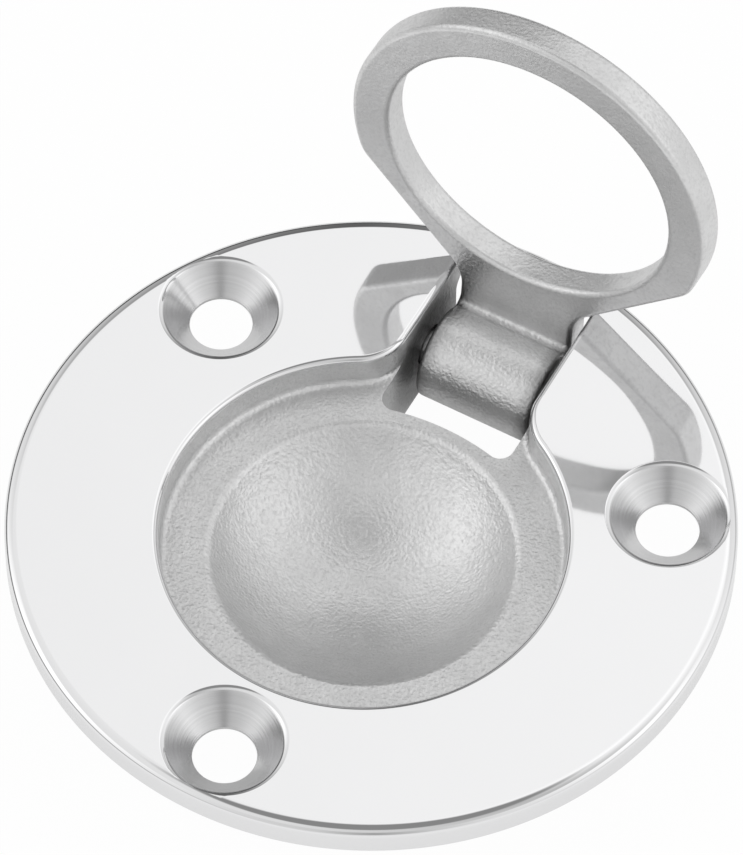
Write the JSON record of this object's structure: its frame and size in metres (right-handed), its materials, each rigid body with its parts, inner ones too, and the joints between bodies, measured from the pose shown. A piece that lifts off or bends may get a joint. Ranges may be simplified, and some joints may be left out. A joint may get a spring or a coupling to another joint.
{
  "type": "flush ring pull",
  "caption": "Round flush pull for a hatch or floor panel: a cast plate with a keyhole recess and finger cup, and a hinged ring that folds flush into it.",
  "frame": {"origin": "centre of the plate's back face, which seats on the panel", "axes": "+Z out of the panel through the plate's polished face, +Y from the centre towards the hinge, +X to the right along the hinge axis"},
  "size_m": [0.057, 0.057, 0.0413],
  "materials": {
    "base_plate": "cast stainless steel, face and rim mirror polished, recess and underside satin as cast",
    "pull_ring": "cast stainless steel, satin as cast",
    "hinge_pin": "plain drawn stainless steel"
  },
  "bodies": {
    "plate": {"base_plate": "base_plate", "hinge_pin": "hinge_pin"},
    "ring": {"pull_ring": "pull_ring"}
  },
  "joints": [
    {"name": "ring_hinge", "type": "hinge", "parent": "plate", "child": "ring", "pos_m": [0, 0.02, -0.0034], "axis": [-1, 0, 0], "range_deg": [-94, 0]}
  ]
}
